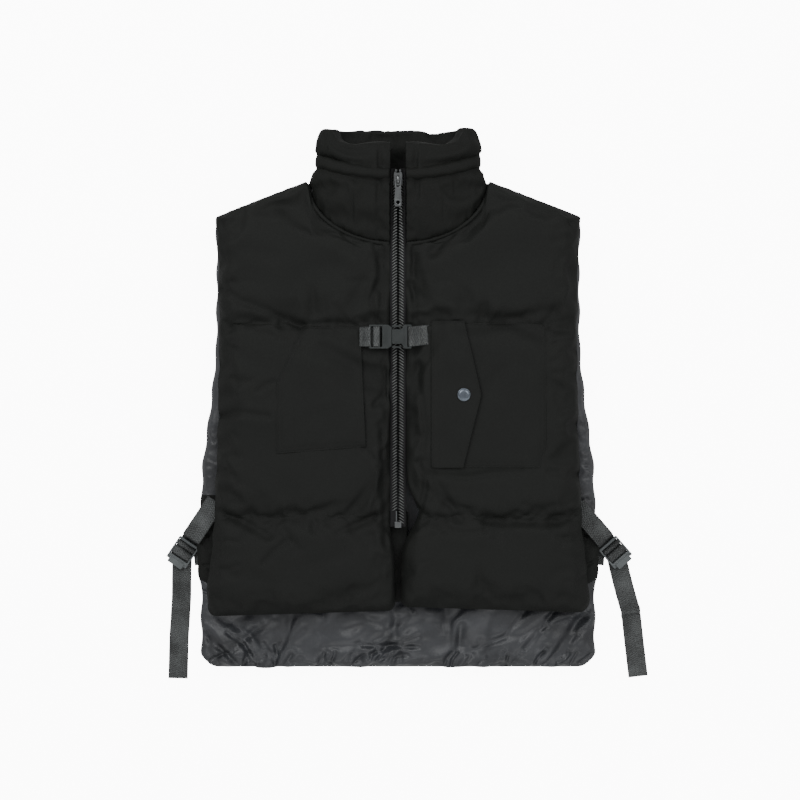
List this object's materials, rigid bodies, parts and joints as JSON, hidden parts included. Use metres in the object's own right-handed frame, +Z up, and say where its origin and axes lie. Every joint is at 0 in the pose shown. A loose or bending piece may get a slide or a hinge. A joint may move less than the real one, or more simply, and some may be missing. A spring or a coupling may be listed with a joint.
{
  "type": "padded zip-front vest with side straps",
  "caption": "Padded sleeveless vest lying flat, with a stand-up collar, zip front, side-release chest buckle, chest pockets and adjustable side straps.",
  "frame": {"origin": "on the floor under the zip line at half height, at the flat back of the vest", "axes": "+Y up the vest to the collar, +X to the wearer's left, +Z up out of the chest"},
  "size_m": [0.6343, 0.7233, 0.0833],
  "materials": {
    "shell_cloth": "matte black woven polyester with a fine weave",
    "collar_cloth": "matte black woven polyester",
    "wadding": "white polyester wadding",
    "lining_cloth": "dark grey satin lining with a soft shine",
    "webbing": "dark grey twill webbing",
    "buckle_plastic": "satin moulded acetal",
    "zip_tape": "knitted zip tape",
    "zip_metal": "blackened metal",
    "snap_metal": "satin gunmetal"
  },
  "bodies": {
    "vest": {"back_shell": "shell_cloth", "left_front_shell": "shell_cloth", "right_front_shell": "shell_cloth", "left_shoulder": "shell_cloth", "right_shoulder": "shell_cloth", "left_underarm_gusset": "shell_cloth", "right_underarm_gusset": "shell_cloth", "left_chest_pocket": "shell_cloth", "right_chest_pocket": "shell_cloth", "left_flap_root": "shell_cloth", "collar_shell": "collar_cloth", "collar_lining": "collar_cloth", "left_collar_welt": "collar_cloth", "right_collar_welt": "collar_cloth", "back_fill_upper": "wadding", "back_fill_middle": "wadding", "back_fill_lower": "wadding", "left_front_fill_upper": "wadding", "left_front_fill_middle": "wadding", "left_front_fill_lower": "wadding", "right_front_fill_upper": "wadding", "right_front_fill_middle": "wadding", "right_front_fill_lower": "wadding", "collar_fill": "wadding", "back_lining": "lining_cloth", "left_front_lining": "lining_cloth", "right_front_lining": "lining_cloth", "chest_strap_left": "webbing", "chest_strap_right": "webbing", "left_side_strap_front": "webbing", "left_side_strap_back": "webbing", "right_side_strap_front": "webbing", "right_side_strap_back": "webbing", "buckle_plug": "buckle_plastic", "zip_tape_left": "zip_tape", "zip_tape_right": "zip_tape", "zip_teeth_left": "zip_metal", "zip_teeth_right": "zip_metal", "zip_top_stop_left": "zip_metal", "zip_top_stop_right": "zip_metal", "zip_retainer_box": "zip_metal", "zip_insertion_pin": "zip_metal", "snap_stud": "snap_metal"},
    "slider": {"zip_slider": "zip_metal"},
    "pull_tab": {"zip_pull_tab": "zip_metal"},
    "flap": {"left_pocket_flap": "shell_cloth", "snap_cap": "snap_metal", "snap_socket": "snap_metal"},
    "socket": {"buckle_socket": "buckle_plastic"},
    "prong_upper": {"buckle_prong_upper": "buckle_plastic"},
    "prong_lower": {"buckle_prong_lower": "buckle_plastic"},
    "right_lock": {"right_ladder_lock": "buckle_plastic", "right_strap_wound": "webbing"},
    "left_lock": {"left_ladder_lock": "buckle_plastic", "left_strap_wound": "webbing"},
    "right_tail": {"right_strap_tail": "webbing"},
    "left_tail": {"left_strap_tail": "webbing"}
  },
  "joints": [
    {"name": "zip_slide", "type": "slide", "parent": "vest", "child": "slider", "axis": [0, -0.9995, -0.0306], "range_m": [0, 0.435]},
    {"name": "pull_tab_swing", "type": "hinge", "parent": "slider", "child": "pull_tab", "pos_m": [0, 0.28035, 0.06675], "axis": [-1, 0, 0], "range_deg": [0, 150]},
    {"name": "pocket_flap_lift", "type": "hinge", "parent": "vest", "child": "flap", "pos_m": [0.0445, 0, 0.0701], "axis": [0, -1, 0], "range_deg": [0, 130]},
    {"name": "buckle_part", "type": "slide", "parent": "vest", "child": "socket", "axis": [1, 0, 0], "range_m": [0, 0.018], "deforming": ["chest_strap_left"]},
    {"name": "prong_upper_pinch", "type": "hinge", "parent": "vest", "child": "prong_upper", "pos_m": [-0.00615, 0.09135, 0.0678], "axis": [0, 0, -1], "range_deg": [0, 8], "stiffness_Nm_per_rad": 0.02},
    {"name": "prong_lower_pinch", "type": "hinge", "parent": "vest", "child": "prong_lower", "pos_m": [-0.00615, 0.06465, 0.0678], "axis": [0, 0, 1], "range_deg": [0, 8], "stiffness_Nm_per_rad": 0.02},
    {"name": "right_lock_tilt", "type": "hinge", "parent": "vest", "child": "right_lock", "pos_m": [-0.27734, -0.19464, 0.0046], "axis": [-0.829, 0.5592, 0], "range_deg": [0, 35], "deforming": ["right_side_strap_front"]},
    {"name": "left_lock_tilt", "type": "hinge", "parent": "vest", "child": "left_lock", "pos_m": [0.27901, -0.19566, 0.0046], "axis": [-0.7547, -0.6561, 0], "range_deg": [0, 35], "deforming": ["left_side_strap_front"]},
    {"name": "right_tail_slide", "type": "slide", "parent": "vest", "child": "right_tail", "axis": [-0.0349, -0.9994, 0], "range_m": [0, 0.012]},
    {"name": "left_tail_slide", "type": "slide", "parent": "vest", "child": "left_tail", "axis": [0.1736, -0.9848, 0], "range_m": [0, 0.012]}
  ]
}
